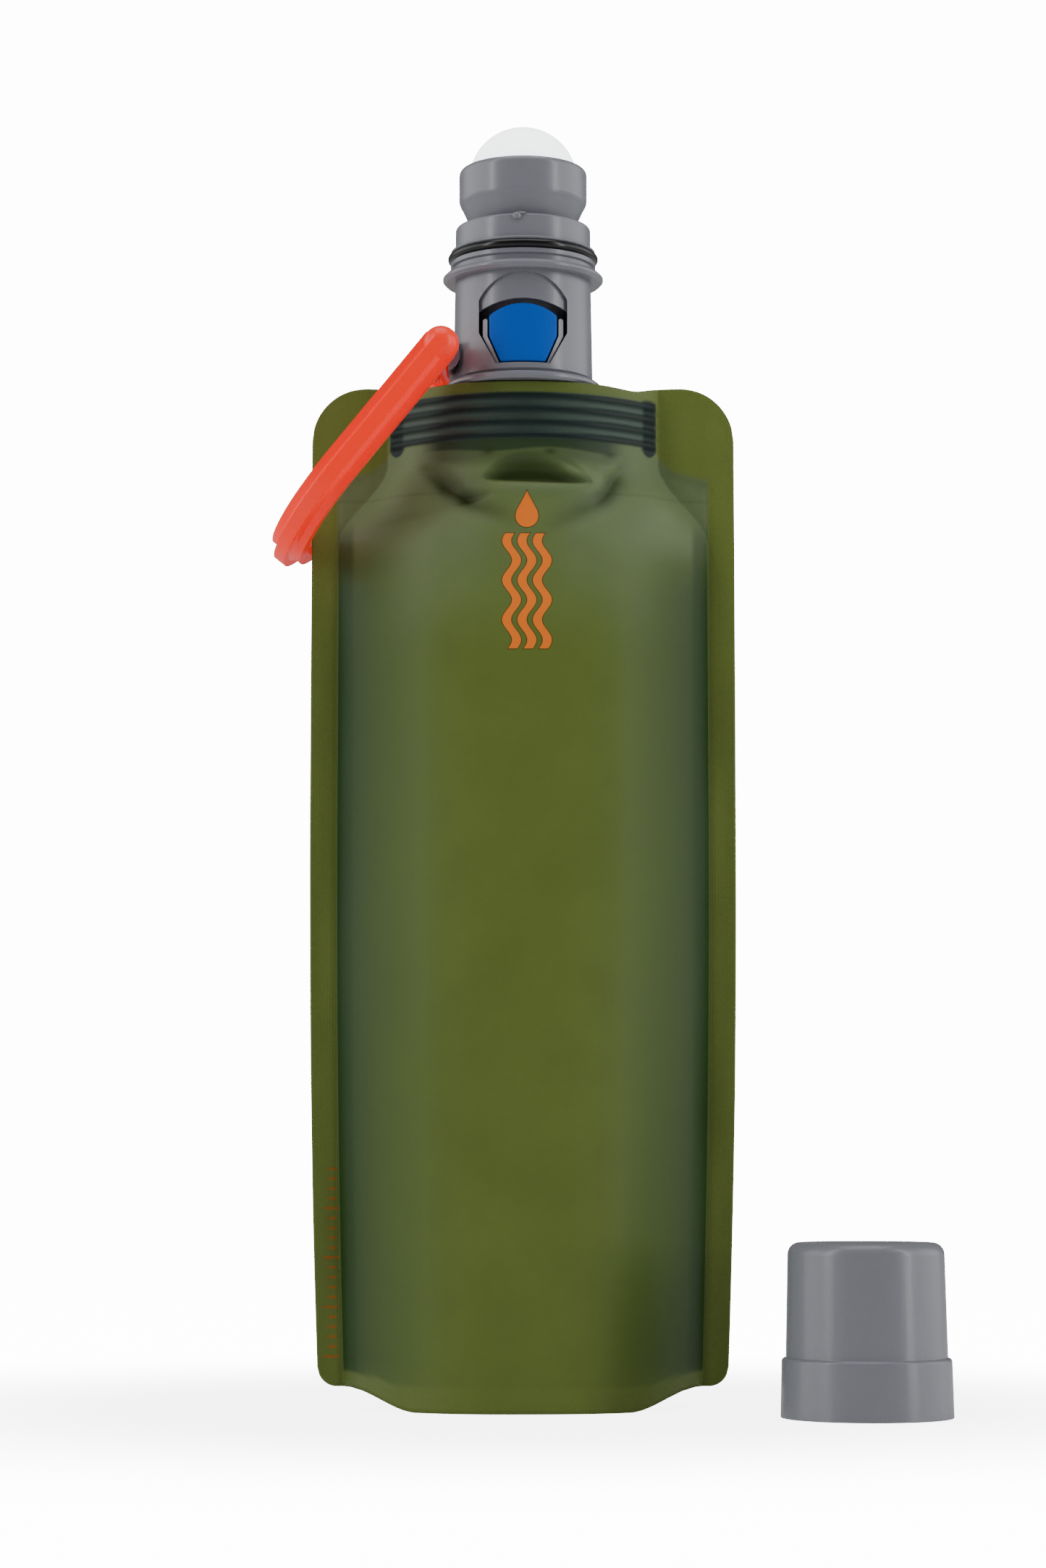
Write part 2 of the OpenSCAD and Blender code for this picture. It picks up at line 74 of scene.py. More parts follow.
def smooth(t):
    t = min(1.0, max(0.0, t))
    return t * t * (3 - 2 * t)


def mix(a, b, t):
    return a + (b - a) * t


def bump_at(x, z, cx, cz, wx, wz, turn=0.0):
    """A round hump of height 1 at (cx, cz), turned by an angle in degrees."""
    a = math.radians(turn)
    u = ((x - cx) * math.cos(a) + (z - cz) * math.sin(a)) / wx
    v = (-(x - cx) * math.sin(a) + (z - cz) * math.cos(a)) / wz
    return math.exp(-(u * u + v * v))


# ---------------------------------------------------------------- film shape
def foot_z(x):
    """The outline's lower edge: flat under the foot, higher towards the sides."""
    return LIFT * smooth((abs(x) - FOOT_HALF) / (HALF_W - FOOT_HALF - 8))


def rounding(radius, over):
    """Height that a rounded corner takes off the outline, a distance past its start."""
    return 0.0 if over <= 0 else radius - math.sqrt(max(0.0, radius * radius - over * over))


def film_low(x):
    return foot_z(x) + rounding(BOTTOM_R, abs(x) - (HALF_W - BOTTOM_R))


def film_high(x):
    """The outline's upper edge: higher beside the boat than over it."""
    sag = 0.5 * math.exp(-((abs(x) - 29) / 6) ** 2)
    rise = 1.4 * smooth((abs(x) - 28) / 8)
    return TOP_Z - sag + rise - rounding(TOP_R, abs(x) - (HALF_W - TOP_R))


def side_draw(z):
    """The filled pouch is drawn in a little towards its foot."""
    return 1 - 0.055 * (1 - min(1.0, z / 150)) ** 2


def closing(z, start):
    """Grows from 0 at a start height to 1 at the boat's lower edge."""
    return smooth((z - start) / (BOAT_Z0 - start))


def inside_y(x, z):
    """Half depth of the inside: a full belly that closes on the boat at the top."""
    t = closing(z, BOAT_Z0 - 46)
    depth = mix((DEPTH - CAD_FILM) * (1 - 0.16 * smooth((z - 90) / 130)), BOAT_T / 2 + 0.3, t)
    width = mix(INNER_W, BOAT_HALF + 1.2, closing(z, BOAT_Z0 - 22))
    power = mix(BELLY_POWER, NECK_POWER, t)
    return depth * max(0.0, 1 - (abs(x) / width) ** power)


RIBS = 4
RIB_H = 1.3
RIB_Z0 = BOAT_Z0 + SKIRT_H
RIB_TOP = BOAT_Z0 + BOAT_H
RIB_PITCH = (RIB_TOP - RIB_Z0 - RIB_H) / (RIBS - 1)


def rib_height(z):
    """1 on a rib of the boat, 0 between two ribs, seen through the clinging film."""
    if not RIB_Z0 - 1 < z < RIB_TOP + 1:
        return 0.0
    nearest = round((z - RIB_Z0 - RIB_H / 2) / RIB_PITCH)
    nearest = min(RIBS - 1, max(0, nearest))
    gap = abs(z - RIB_Z0 - RIB_H / 2 - nearest * RIB_PITCH)
    return 1 - smooth((gap - 0.4) / 0.95)


def on_boat(x, z):
    """1 where the film clings to the ribbed boat and its end fins, fading over a millimetre."""
    across = smooth((BOAT_HALF + 1.2 - abs(x)) / 0.9)
    from_fin = abs(abs(x) - BOAT_HALF + 1.1) / 2.2
    low = RIB_Z0 - 2.2 * max(0.0, 1 - from_fin ** 2)
    high = RIB_TOP + 0.5 * max(0.0, 1 - from_fin ** 2)
    return across * smooth((z - low + 0.5) / 0.7) * smooth((high + 0.7 - z) / 0.7)


# Soft swells of the film: centre, half sizes, turn in degrees and depth in millimetres.
# A positive depth goes in, a negative one stands out.
SWELLS = [
    (21.6, 240.6, 3.6, 3.0, 0, -1.2),
    (-22.0, 243.0, 8.0, 2.8, -20, -0.7),
    (-18.5, 235.2, 7.5, 3.2, -42, 1.1),
    (22.4, 235.8, 2.6, 5.0, -22, 1.2),
    (16.5, 228.9, 11.0, 3.2, 31, 1.2),
    (-10.2, 228.4, 8.0, 2.8, -24, 1.1),
    (35.0, 230.5, 7.5, 5.5, 25, -1.4),
    (-33.5, 236.0, 6.5, 4.6, -20, -1.2),
    (3.4, 233.9, 11.5, 1.7, 0, -1.0),
    (-29.0, 227.0, 8.0, 2.0, 8, 0.5),
    (28.0, 220.0, 13.0, 7.0, 0, -0.6),
    (-24.0, 220.0, 13.0, 6.0, 0, -0.6),
    (-2.0, 207.0, 26.0, 6.0, 4, 0.4),
]
# Folds: two ends, width above and below the line, depth
FOLDS = [
    (-25.5, 239.7, -20.6, 234.1, 3.4, 2.4, 0.6),
    (-20.6, 234.1, -14.5, 230.8, 3.4, 1.8, 0.9),
    (-14.5, 230.8, -9.6, 232.0, 2.6, 0.8, 0.8),
    (24.6, 239.7, 20.3, 231.7, 1.8, 3.2, 0.7),
    (5.6, 243.4, 12.4, 238.5, 1.6, 2.2, -1.0),
    (12.4, 238.5, 17.3, 236.6, 1.3, 1.8, -1.0),
    (39.0, 240.6, 47.5, 237.6, 1.4, 2.2, 0.5),
    (-39.0, 240.6, -47.5, 237.6, 1.4, 2.2, 0.5),
]


def fold_at(x, z, x0, z0, x1, z1, above, below):
    """1 on a fold's line, falling off sharply, with its ends faded."""
    dx, dz = x1 - x0, z1 - z0
    long = math.hypot(dx, dz)
    along = ((x - x0) * dx + (z - z0) * dz) / long
    off = ((z - z0) * dx - (x - x0) * dz) / long * (1 if dx > 0 else -1)
    past = max(0.0, -along, along - long)
    width = above if off > 0 else below
    reach = math.sqrt((off / width) ** 2 + (past / 3.0) ** 2 + 0.16) - 0.4
    return math.exp(-1.5 * reach)


def hollow(x, z):
    """The dark hollow under the boat: an arch on a nearly straight, sharp lip."""
    u = (x - 3.4) / 14.4
    if abs(u) > 1:
        return 0.0
    lip = 236.2 - 0.5 * u + 0.3 * u * u
    arch = lip + 7.2 * (1 - abs(u) ** 2.4)
    if z > lip:
        depth = 0.35 + 0.65 * smooth((arch - z) / (arch - lip + 0.1))
        depth *= smooth((arch - z) / 1.4 + 0.5)
    else:
        depth = math.exp(-((lip - z) / 0.8) ** 2)
    return (1 - u ** 4) * depth


def creases(x, z, side):
    """How far the film is pushed in; the back panel has its own, mirrored set."""
    if z < SWELL_Z:
        return 0.0
    x = x if side < 0 else -x - 2.5
    pushed = sum(depth * bump_at(x, z, cx, cz, wx, wz, turn)
                 for cx, cz, wx, wz, turn, depth in SWELLS)
    if z > FOLD_Z:
        pushed += sum(depth * fold_at(x, z, x0, z0, x1, z1, above, below)
                      for x0, z0, x1, z1, above, below, depth in FOLDS)
        pushed += 3.1 * hollow(x, z)
    return pushed


def ripple(x, z):
    """Slow unevenness of a filled pouch."""
    return (0.22 * math.sin(z * 0.055 + 0.9 * math.sin(x * 0.06))
            + 0.13 * math.sin(x * 0.17 + z * 0.031 + 1.3))


def edge_wave(x, z):
    """The welded edge isn't quite flat."""
    edge = smooth((abs(x) - INNER_W + 1) / 6)
    phase = 0.6 if x > 0 else 2.1
    return edge * (0.45 * math.sin(z * 0.052 + phase) + 0.2 * math.sin(z * 0.13 + x * 0.02))


def film_y(x, z, side):
    """Distance of the film's outer face from the welds' plane."""
    inside = inside_y(x, z)
    free = smooth((inside - 1.5) / 6)
    top = smooth((z - 195) / 15) * smooth((BOAT_Z0 - 0.3 - z) / 3.5)
    inside -= free * (creases(x, z, side) * top + ripple(x, z) * (1 - smooth((z - 215) / 20)))
    ribs = 0.8 * (rib_height(z) - 0.56) * on_boat(x, z)
    bead = 0.25 * math.exp(-((abs(x) - INNER_W) / 0.8) ** 2) * smooth((240 - z) / 4)
    return max(0.0, inside) + FILM + ribs - bead


def film_point(x, z, side):
    """A point on the film's outer face, in metres."""
    y = side * film_y(x, z, side) + edge_wave(x, z)
    return Vector((x * side_draw(z) * MM, y * MM, z * MM))


# ---------------------------------------------------------------- film colour
SEAL_GREEN = (0.112, 0.146, 0.03)      # the welds
EDGE_SHADE_GREEN = (0.012, 0.036, 0.006)     # painted shade beside the welds
MID_GREEN = (0.08, 0.118, 0.022)
HEART_GREEN = (0.1, 0.136, 0.026)      # the middle of the belly
MISTY_HIGHLIGHT_GREEN = (0.122, 0.164, 0.078)     # painted misty highlight on the upper belly
SHADE_GREEN = (0.013, 0.024, 0.001)    # hollows and folds
RIB_DARK = (0.008, 0.017, 0.016)
RIB_GAP = (0.055, 0.083, 0.069)
# The boat seen dark through the film, and painted shade around and just below it
UNDER_BOAT = (0.012, 0.03, 0.013)
DOTS_X = (-9.0, 7.0, 22.5)             # small dark marks on the skirt's lower edge


def blend(a, b, t):
    return tuple(mix(p, q, t) for p, q in zip(a, b))


def seal_share(x, z):
    """1 on the welded edges: the side seals, and the corners above a slanted line."""
    ax = abs(x)
    side = smooth((ax - INNER_W + 0.35) / 0.7)
    slant = 238.7 + 0.255 * (INNER_W - max(ax, 39)) + 0.96 * max(0.0, 39 - ax)
    corner = smooth((z - slant + 1.2) / 2.4) * smooth((ax - BOAT_HALF + 1) / 2)
    above = smooth((z - RIB_TOP + 0.2) / 0.8)
    foot = smooth((6.5 - z + film_low(x) * 0.6) / 0.8) * 0.6
    return max(side, corner, 0.8 * above, foot)


def belly_tint(x, z):
    """Green with painted shade darkening it towards the welds and a painted misty highlight near
    the shoulders.
    """
    ax = abs(x)
    color = blend(HEART_GREEN, MID_GREEN, smooth((ax - 14) / 16))
    toward_weld = min(1.0, max(0.0, (ax - 25) / 21)) ** 1.15
    color = blend(color, EDGE_SHADE_GREEN, 0.95 * toward_weld * (1 - 0.35 * smooth((z - 205) / 12)))
    misty_highlight = smooth((z - 188) / 40) * (0.45 + 0.4 * smooth((ax - 4) / 12))
    fade = 0.85 * smooth((ax - 22) / 18) * (1 - 0.9 * smooth((z - 213) / 10))
    return blend(color, MISTY_HIGHLIGHT_GREEN, misty_highlight * (1 - fade))


def fold_tint(color, x, z, side):
    """Painted shade where the film is pushed in, painted highlight where it stands out or catches
    light.
    """
    pushed = creases(x, z, side) * smooth((z - FOLD_Z) / 14)
    if pushed > 0:
        color = blend(color, SHADE_GREEN, min(0.93, pushed * 0.34))
    else:
        color = blend(color, MISTY_HIGHLIGHT_GREEN, min(0.6, -pushed * 0.5))
    # A painted highlight along the lip under the hollow, on the front panel only
    lip = bump_at(x, z, 4.0, 234.4, 11.0, 1.6) if side < 0 else 0.0
    color = blend(color, MISTY_HIGHLIGHT_GREEN, 0.5 * lip)
    header = math.exp(-((z - 233.2) / 0.35) ** 2) * smooth((abs(x) - 17) / 4)
    return blend(color, SHADE_GREEN, 0.14 * header)


def boat_tint(color, x, z):
    """The boat's skirt, seen dark through the film, painted shade around and just below the boat,
    and the dots on its lower edge.
    """
    ax = abs(x)
    skirt_z = BOAT_Z0 + 0.1 + 0.5 * math.sin(x * 0.21)
    skirt = smooth((z - skirt_z) / 1.4) * smooth((28 - ax) / 7)
    shade_around = smooth((z - 238.5) / 4) * smooth((BOAT_HALF - 4 - ax) / 10)
    color = blend(color, UNDER_BOAT, max(0.88 * skirt, 0.45 * shade_around))
    dots = sum(bump_at(x, z, cx, BOAT_Z0 + 0.4, 1.5, 0.8) for cx in DOTS_X)
    return blend(color, SHADE_GREEN, min(1.0, dots) * 0.6)


def rib_tint(color, x, z):
    """The ribs and the end fins, where the film clings to them."""
    ax = abs(x)
    on = on_boat(x, z)
    if on <= 0:
        return color
    gap = blend(RIB_GAP, RIB_DARK, 0.45 * smooth((14 - ax) / 14))
    color = blend(color, blend(gap, RIB_DARK, rib_height(z)), 0.95 * on)
    fin = smooth((ax - BOAT_HALF + 3.2) / 1.0)
    return blend(color, RIB_DARK, 0.9 * on * fin)


def film_tint(x, z, side):
    ax = abs(x)
    color = boat_tint(fold_tint(belly_tint(x, z), x, z, side), x, z)
    foot = smooth((14 - z) / 14)
    color = blend(color, HEART_GREEN, 0.5 * foot)
    # A band of painted shade runs along the inner edge of each side weld
    shade_band = smooth((ax - 43.2) / 1.6) * smooth((INNER_W + 0.2 - ax) / 0.5) * smooth((229 - z) / 8)
    color = blend(color, EDGE_SHADE_GREEN, 0.55 * shade_band)
    color = blend(color, SEAL_GREEN, seal_share(x, z))
    return rib_tint(color, x, z)


def film_sheet(name, side, cols=230, low_rows=190, top_rows=120):
    """One panel of film, with its colour and its share of weld painted on the points."""
    verts, faces, tints = [], [], []
    rows = low_rows + top_rows
    for j in range(rows + 1):
        for i in range(cols + 1):
            x = HALF_W * (2 * i / cols - 1)
            if j < low_rows:
                z = mix(film_low(x), FINE_Z, j / low_rows)
            else:
                z = mix(FINE_Z, film_high(x), (j - low_rows) / top_rows)
            verts.append(film_point(x, z, side))
            tints.append((*film_tint(x, z, side), seal_share(x, z)))
    for j in range(rows):
        for i in range(cols):
            a = j * (cols + 1) + i
            quad = (a, a + 1, a + cols + 2, a + cols + 1)
            faces.append(quad if side < 0 else quad[::-1])
    mesh = bpy.data.meshes.new(name)
    mesh.from_pydata(verts, [], faces)
    mesh.shade_smooth()
    layer = mesh.color_attributes.new("tint", "FLOAT_COLOR", "POINT")
    for value, tint in zip(layer.data, tints):
        value.color = tint
    obj = bpy.data.objects.new(name, mesh)
    bpy.context.scene.collection.objects.link(obj)
    thick = obj.modifiers.new("thickness", "SOLIDIFY")
    thick.thickness = FILM * MM
    thick.offset = -1
    return obj


# ---------------------------------------------------------------- materials
def new_material(name):
    mat = bpy.data.materials.new(name)
    mat.use_nodes = True
    nt = mat.node_tree
    return mat, nt, nt.nodes["Principled BSDF"]


def map_range(nt, value, to_min, to_max, from_min=0.0, from_max=1.0, eased=False):
    """A Map Range node fed by a socket; returns the node."""
    node = nt.nodes.new("ShaderNodeMapRange")
    if eased:
        node.interpolation_type = "SMOOTHSTEP"
    for socket, number in (("From Min", from_min), ("From Max", from_max),
                           ("To Min", to_min), ("To Max", to_max)):
        node.inputs[socket].default_value = number
    nt.links.new(value, node.inputs["Value"])
    return node


def plastic(name, color, roughness=0.4, grain=0.12, scale=900.0, shine=0.4, metallic=0.0):
    """Moulded plastic with a fine grain in its surface."""
    mat, nt, shader = new_material(name)
    shader.inputs["Base Color"].default_value = (*color, 1)
    shader.inputs["Roughness"].default_value = roughness
    shader.inputs["Specular IOR Level"].default_value = shine
    shader.inputs["Metallic"].default_value = metallic
    noise = nt.nodes.new("ShaderNodeTexNoise")
    noise.inputs["Scale"].default_value = scale
    noise.inputs["Detail"].default_value = 4
    bump = nt.nodes.new("ShaderNodeBump")
    bump.inputs["Strength"].default_value = grain
    bump.inputs["Distance"].default_value = 0.0002
    coord = nt.nodes.new("ShaderNodeTexCoord")
    nt.links.new(coord.outputs["Object"], noise.inputs["Vector"])
    nt.links.new(noise.outputs["Fac"], bump.inputs["Height"])
    nt.links.new(bump.outputs["Normal"], shader.inputs["Normal"])
    return mat


def painted_glow(mat, color, strength):
    """Painted glow: an emission that makes a pale or vivid plastic brighter than its lamps light
    it.
    """
    shader = mat.node_tree.nodes["Principled BSDF"]
    shader.inputs["Emission Color"].default_value = (*color, 1)
    shader.inputs["Emission Strength"].default_value = strength


GREY = plastic("grey_plastic", (0.172, 0.177, 0.200), roughness=0.25, grain=0.06, scale=1400)
BLUE = plastic("blue_plastic", (0.0, 0.078, 0.44), roughness=0.5, shine=0.08)
ORANGE = plastic("orange_plastic", (0.94, 0.026, 0.004), roughness=0.26, grain=0.04, shine=0.3)
# A painted glow brightens the orange plastic
painted_glow(ORANGE, (1.0, 0.004, 0.001), 0.3)
BLACK = plastic("black_rubber", (0.003, 0.003, 0.0035), roughness=0.22, grain=0.03, shine=0.35)
WHITE = plastic("white_silicone", (0.7, 0.7, 0.68), roughness=0.5)
BALL = plastic("ball_plastic", (0.90, 0.92, 0.95), roughness=0.12, grain=0.02)
# A painted glow makes the ball look brighter than its lamps light it
painted_glow(BALL, (0.93, 0.96, 1.0), 3.0)
STEEL = plastic("spring_steel", (0.5, 0.5, 0.5), roughness=0.25, metallic=1.0)

# The print: a drop over three waves on the belly, and level ticks on the left weld
MARK_X = 1.0
LANES = (MARK_X - 3.9, MARK_X, MARK_X + 3.9)
WAVE_LOW, WAVE_HIGH = 191.4, 221.6
WAVE_START, WAVE_LENGTH, WAVE_SWAY = 191.0, 10.4, 1.25
STROKE_HALF = 1.15
DROP_Z, DROP_R, DROP_TIP = 226.2, 2.9, 6.6
OUTLINE = 0.22
TICKS_LOW, TICKS_HIGH = 12.0, 62.0
TICK_X, LONG_TICK_X = (-49.6, -47.6), (-50.8, -47.0)
TICK_PITCH, LONG_TICK_PITCH = 2.5, 12.5
INK, INK_RIM, TICK_INK = (0.78, 0.17, 0.016), (0.05, 0.03, 0.005), (0.30, 0.09, 0.01)


def ink_masks(new, link, position):
    """Masks in shader maths for the mark, the mark's dark rim and the ticks."""
    def op(kind, a, b=0.0):
        node = new("ShaderNodeMath")
        node.operation = kind
        for socket, value in zip(node.inputs, (a, b)):
            if isinstance(value, (int, float)):
                socket.default_value = value
            else:
                link(value, socket)
        return node.outputs[0]

    def within(value, low, high):
        return op("MULTIPLY", op("GREATER_THAN", value, low), op("LESS_THAN", value, high))

    split = new("ShaderNodeSeparateXYZ")
    link(position, split.inputs[0])
    x = op("MULTIPLY", split.outputs["X"], 1 / MM)
    z = op("MULTIPLY", split.outputs["Z"], 1 / MM)
    masks = []
    for grow in (0.0, OUTLINE):
        angle = op("MULTIPLY", op("ADD", z, -WAVE_START), 2 * math.pi / WAVE_LENGTH)
        sway = op("MULTIPLY", op("SINE", angle), WAVE_SWAY)
        shape = None
        for lane in LANES:
            off = op("ABSOLUTE", op("SUBTRACT", op("SUBTRACT", x, lane), sway))
            stroke = op("MULTIPLY", op("LESS_THAN", off, STROKE_HALF + grow),
                        within(z, WAVE_LOW - grow, WAVE_HIGH + grow))
            shape = stroke if shape is None else op("MAXIMUM", shape, stroke)
        # The drop is a disc that narrows upwards to a point
        up = op("SUBTRACT", z, DROP_Z)
        across = op("SUBTRACT", x, MARK_X)
        reach = op("SQRT", op("ADD", op("MULTIPLY", up, up), op("MULTIPLY", across, across)))
        disc = op("LESS_THAN", reach, DROP_R + grow)
        taper = op("MULTIPLY", op("SUBTRACT", DROP_TIP + grow * 2, up), 0.52)
        cone = op("MULTIPLY", op("LESS_THAN", op("ABSOLUTE", across), taper), within(up, 1.25, 7))
        masks.append(op("MAXIMUM", shape, op("MAXIMUM", disc, cone)))
    ticks = None
    for pitch, share, ends in ((TICK_PITCH, 0.3, TICK_X), (LONG_TICK_PITCH, 0.06, LONG_TICK_X)):
        phase = op("FRACT", op("MULTIPLY", z, 1 / pitch))
        tick = op("MULTIPLY", op("LESS_THAN", phase, share), within(x, *ends))
        ticks = tick if ticks is None else op("MAXIMUM", ticks, tick)
    return masks[0], masks[1], op("MULTIPLY", ticks, within(z, TICKS_LOW, TICKS_HIGH))


def film_material(name, printed=False):
    """Satin film: painted tint, a fine press pattern on the welds, faint haze elsewhere."""
    mat, nt, shader = new_material(name)
    new, link = nt.nodes.new, nt.links.new
    tint = new("ShaderNodeAttribute")
    tint.attribute_name = "tint"
    coord = new("ShaderNodeTexCoord")
    haze = new("ShaderNodeTexNoise")
    haze.inputs["Scale"].default_value = 45
    haze.inputs["Detail"].default_value = 5
    link(coord.outputs["Object"], haze.inputs["Vector"])
    tone = map_range(nt, haze.outputs["Fac"], 0.86, 1.14)
    paint = new("ShaderNodeVectorMath")
    paint.operation = "SCALE"
    link(tint.outputs["Color"], paint.inputs[0])
    link(tone.outputs["Result"], paint.inputs["Scale"])
    color = paint.outputs["Vector"]
    if printed:
        ink, rim, ticks = ink_masks(new, link, coord.outputs["Object"])
        for mask, rgb, share in ((rim, INK_RIM, 0.75), (ink, INK, 1.0), (ticks, TICK_INK, 0.7)):
            layer = new("ShaderNodeMix")
            layer.data_type = "RGBA"
            strength = new("ShaderNodeMath")
            strength.operation = "MULTIPLY"
            strength.inputs[1].default_value = share
            link(mask, strength.inputs[0])
            link(strength.outputs[0], layer.inputs[0])
            link(color, layer.inputs[6])
            layer.inputs[7].default_value = (*rgb, 1)
            color = layer.outputs[2]
    link(color, shader.inputs["Base Color"])
    # Press pattern: two crossed sets of fine lines
    lines = []
    for direction in ("X", "Z"):
        wave = new("ShaderNodeTexWave")
        wave.bands_direction = direction
        wave.inputs["Scale"].default_value = 420
        link(coord.outputs["Object"], wave.inputs["Vector"])
        lines.append(wave)
    grid = new("ShaderNodeMath")
    grid.operation = "ADD"
    link(lines[0].outputs["Fac"], grid.inputs[0])
    link(lines[1].outputs["Fac"], grid.inputs[1])
    pressed = new("ShaderNodeMath")
    pressed.operation = "MULTIPLY"
    link(grid.outputs["Value"], pressed.inputs[0])
    link(tint.outputs["Alpha"], pressed.inputs[1])
    bump = new("ShaderNodeBump")
    bump.inputs["Strength"].default_value = 0.35
    bump.inputs["Distance"].default_value = 0.00006
    link(pressed.outputs["Value"], bump.inputs["Height"])
    fine = new("ShaderNodeTexNoise")
    fine.inputs["Scale"].default_value = 260
    link(coord.outputs["Object"], fine.inputs["Vector"])
    soft = new("ShaderNodeBump")
    soft.inputs["Strength"].default_value = 0.12
    soft.inputs["Distance"].default_value = 0.0001
    link(fine.outputs["Fac"], soft.inputs["Height"])
    link(bump.outputs["Normal"], soft.inputs["Normal"])
    link(soft.outputs["Normal"], shader.inputs["Normal"])
    gloss = map_range(nt, haze.outputs["Fac"], 0.34, 0.52)
    link(gloss.outputs["Result"], shader.inputs["Roughness"])
    shader.inputs["Specular IOR Level"].default_value = 0.14
    return mat


FILM_MAT = film_material("film")
PRINTED_MAT = film_material("film_printed", printed=True)
GUSSET_MAT = plastic("gusset_film", HEART_GREEN, roughness=0.4, grain=0.08, scale=300)


# ---------------------------------------------------------------- hard pieces
def cad_object(node):
    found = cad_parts[node]
    return bpy.data.objects[found] if isinstance(found, str) else found


def softened(node, name, mat, body, width):
    """A copy of a CAD node with its edges rounded, standing for that node."""
    mesh = cad_object(node).data.copy()
    mesh.name = name
    bm = bmesh.new()
    bm.from_mesh(mesh)
    bmesh.ops.remove_doubles(bm, verts=bm.verts, dist=2e-6)
    bmesh.ops.dissolve_limit(bm, angle_limit=math.radians(1.2), verts=bm.verts, edges=bm.edges)
    bm.to_mesh(mesh)
    bm.free()
    mesh.materials.clear()
    mesh.materials.append(mat)
    obj = bpy.data.objects.new(name, mesh)
    bpy.context.scene.collection.objects.link(obj)
    bevel = obj.modifiers.new("soft_edges", "BEVEL")
    bevel.width = width * MM
    bevel.segments = 3
    bevel.limit_method = "ANGLE"
    bevel.angle_limit = math.radians(32)
    bevel.miter_outer = "MITER_ARC"
    mesh.shade_smooth()
    obj.modifiers.new("normals", "WEIGHTED_NORMAL")
    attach(obj, body)
    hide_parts(node)
    return obj


def give(node, mat):
    materials = cad_object(node).data.materials
    materials.clear()
    materials.append(mat)


for node_name, width in (("collar", 0.3), ("button_guide", 0.25), ("valve_body", 0.2),
                         ("ball_housing", 0.3)):
    softened(node_name, node_name + "_skin", GREY, "head", width)
softened("over_cap", "over_cap_skin", GREY, "cap", 0.4)
softened("release_button", "button_skin", BLUE, "button", 0.5)
softened("carabiner_frame", "carabiner_skin", ORANGE, "carabiner", 0.45)
softened("carabiner_gate", "gate_skin", ORANGE, "gate", 0.4)
for mat, node_names in ((GREY, ("latch_plate", "spout_fitment")),
                        (BLACK, ("spout_seal", "plug_o_ring", "cap_o_ring")),
                        (WHITE, ("ball_seat", "cap_liner")),
                        (STEEL, ("gate_pin", "gate_spring", "button_spring")),
                        (BALL, ("roller_ball",)),
                        (GUSSET_MAT, ("bottom_gusset",))):
    for node_name in node_names:
        give(node_name, mat)


def gate_nub():
    """The moulding gate left on the seat's rim: a flat drop with a short tail."""
    centre = Vector((-1.6, -17.75, 304.9))
    lumps = (((0, 0, 0), (1.15, 0.7, 1.0)), ((1.0, 0.05, 0.75), (0.95, 0.5, 0.4)),
             ((1.9, 0.15, 0.85), (0.5, 0.35, 0.28)))
    bm = bmesh.new()
    for at, size in lumps:
        made = bmesh.ops.create_uvsphere(bm, u_segments=24, v_segments=14, radius=1)
        for vert in made["verts"]:
            vert.co = (centre + Vector(at) + Vector(c * k for c, k in zip(vert.co, size))) * MM
    mesh = bpy.data.meshes.new("gate_nub")
    bm.to_mesh(mesh)
    bm.free()
    mesh.shade_smooth()
    mesh.materials.append(GREY)
    obj = bpy.data.objects.new("gate_nub", mesh)
    bpy.context.scene.collection.objects.link(obj)
    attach(obj, "head")


gate_nub()

# ---------------------------------------------------------------- film panels
front = film_sheet("front_film", -1)
back = film_sheet("back_film", 1)
for piece, node_name, mat in ((front, "front_panel", PRINTED_MAT), (back, "back_panel", FILM_MAT)):
    piece.data.materials.append(mat)
    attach(piece, "pouch")
    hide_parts(node_name)

# ---------------------------------------------------------------- studio
CAMERA_AT = Vector((0.0, -0.950, 0.0604))
CAMERA_PITCH = 5.946
LENS = 84.8
SENSOR = 36
BACKDROP = 14.0          # the backdrop's glow, which only the camera sees
FLOOR_NEAR = 5.5         # the floor's glow under the bottle

camera_data = bpy.data.cameras.new("camera")
camera_data.sensor_width = SENSOR
camera_data.lens = LENS
camera_data.clip_start = 0.01
camera = bpy.data.objects.new("camera", camera_data)
camera.location = CAMERA_AT
camera.rotation_euler = (math.radians(90 + CAMERA_PITCH), 0, 0)
bpy.context.scene.collection.objects.link(camera)
bpy.context.scene.camera = camera


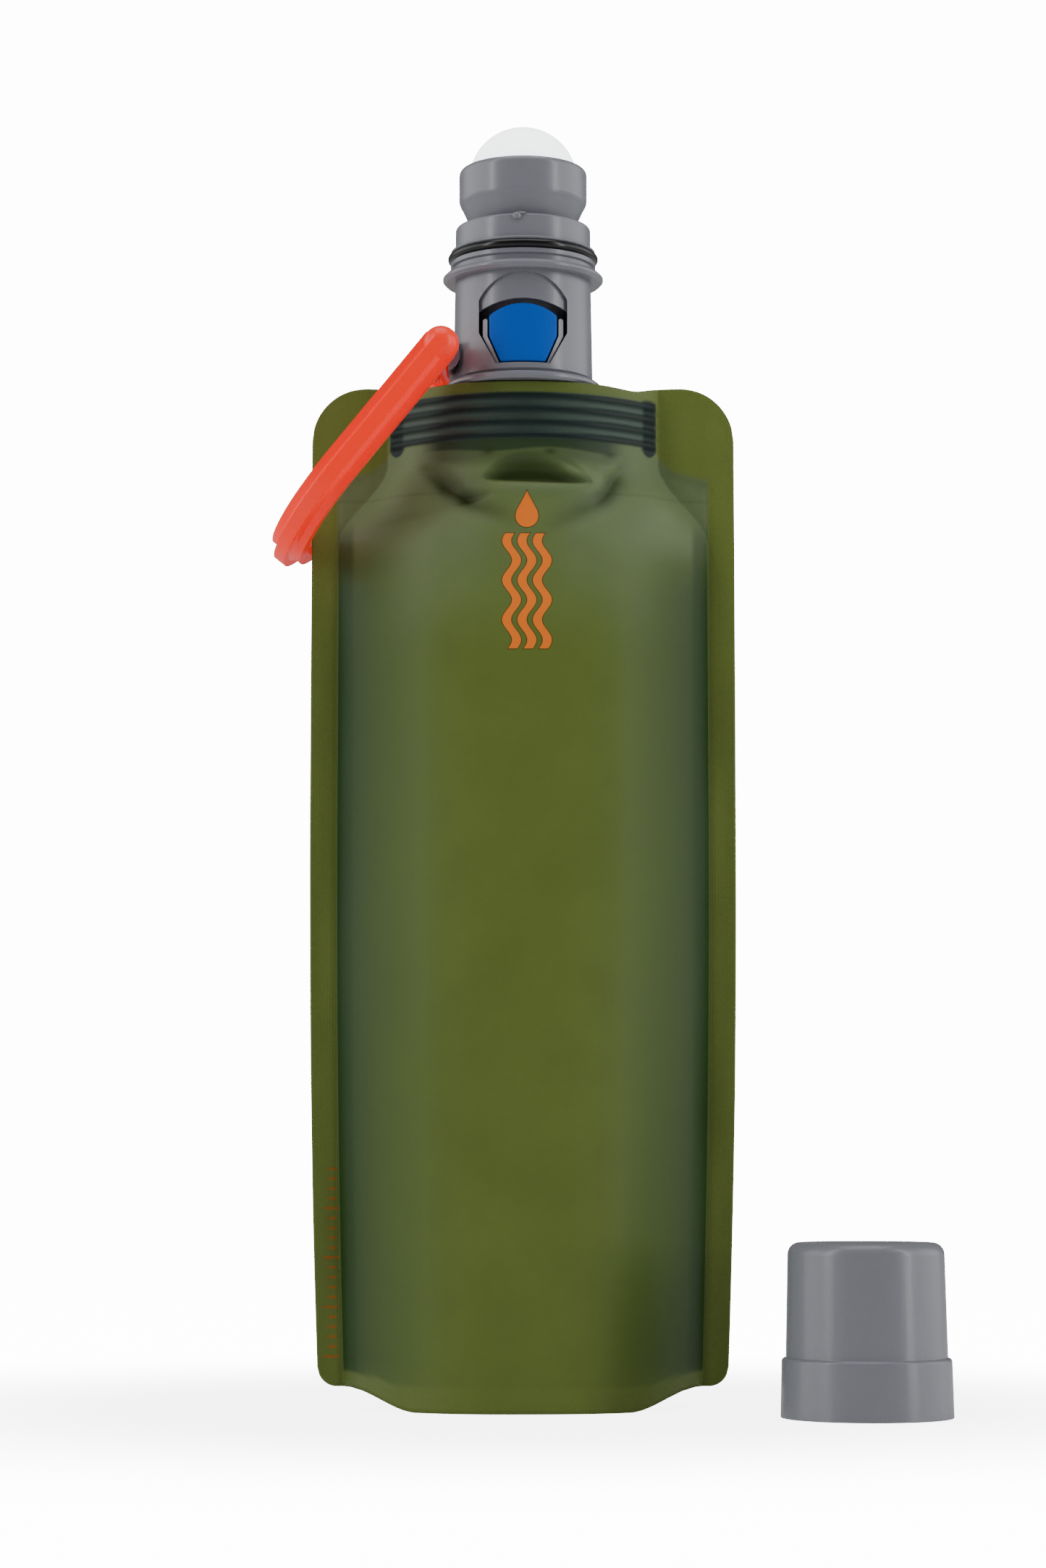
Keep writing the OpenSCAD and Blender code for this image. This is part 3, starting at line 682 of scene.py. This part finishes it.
def sweep():
    """Pale floor that glows for the camera, more so away from the bottle."""
    mesh = bpy.data.meshes.new("floor")
    half = 6.0
    mesh.from_pydata([(-half, -half, 0), (half, -half, 0), (half, half, 0), (-half, half, 0)],
                     [], [(0, 1, 2, 3)])
    obj = bpy.data.objects.new("floor", mesh)
    bpy.context.scene.collection.objects.link(obj)
    mat, nt, shader = new_material("floor")
    shader.inputs["Base Color"].default_value = (0.92, 0.92, 0.92, 1)
    shader.inputs["Roughness"].default_value = 0.45
    shader.inputs["Emission Color"].default_value = (1, 1, 1, 1)
    path = nt.nodes.new("ShaderNodeLightPath")
    place = nt.nodes.new("ShaderNodeTexCoord")
    reach = nt.nodes.new("ShaderNodeVectorMath")
    reach.operation = "LENGTH"
    nt.links.new(place.outputs["Object"], reach.inputs[0])
    rise = map_range(nt, reach.outputs["Value"], FLOOR_NEAR, BACKDROP, 0.09, 0.30, eased=True)
    glow = nt.nodes.new("ShaderNodeMath")
    glow.operation = "MULTIPLY"
    nt.links.new(path.outputs["Is Camera Ray"], glow.inputs[0])
    nt.links.new(rise.outputs["Result"], glow.inputs[1])
    nt.links.new(glow.outputs["Value"], shader.inputs["Emission Strength"])
    mesh.materials.append(mat)


def area_light(name, at, target, size, size_y, power):
    data = bpy.data.lights.new(name, "AREA")
    data.shape = "RECTANGLE"
    data.size = size
    data.size_y = size_y
    data.energy = power
    obj = bpy.data.objects.new(name, data)
    obj.location = at
    aim = Vector(target) - Vector(at)
    obj.rotation_euler = aim.to_track_quat("-Z", "Y").to_euler()
    bpy.context.scene.collection.objects.link(obj)


sweep()
area_light("key", (-0.78, -0.50, 0.62), (0, 0, 0.24), 0.10, 1.2, power=3.6)
area_light("fill", (0.76, -0.44, 0.52), (0, 0, 0.24), 0.10, 1.1, power=3.0)
area_light("top", (0, -0.15, 1.4), (0, 0, 0.1), 1.0, 1.0, power=7.5)


def studio_world():
    """White light, weaker from the front than from the sides; the camera sees it brighter."""
    world = bpy.data.worlds.new("studio")
    bpy.context.scene.world = world
    world.use_nodes = True
    nt = world.node_tree
    nt.nodes["Background"].inputs["Color"].default_value = (1, 1, 1, 1)
    coord = nt.nodes.new("ShaderNodeTexCoord")
    split = nt.nodes.new("ShaderNodeSeparateXYZ")
    nt.links.new(coord.outputs["Generated"], split.inputs[0])
    side = nt.nodes.new("ShaderNodeMath")
    side.operation = "ABSOLUTE"
    nt.links.new(split.outputs["X"], side.inputs[0])
    level = map_range(nt, side.outputs[0], 0.16, 2.5, 0.6, 0.98, eased=True)
    path = nt.nodes.new("ShaderNodeLightPath")
    strength = map_range(nt, path.outputs["Is Camera Ray"], 0.0, BACKDROP)
    nt.links.new(level.outputs["Result"], strength.inputs["To Min"])
    nt.links.new(strength.outputs["Result"], nt.nodes["Background"].inputs["Strength"])


studio_world()
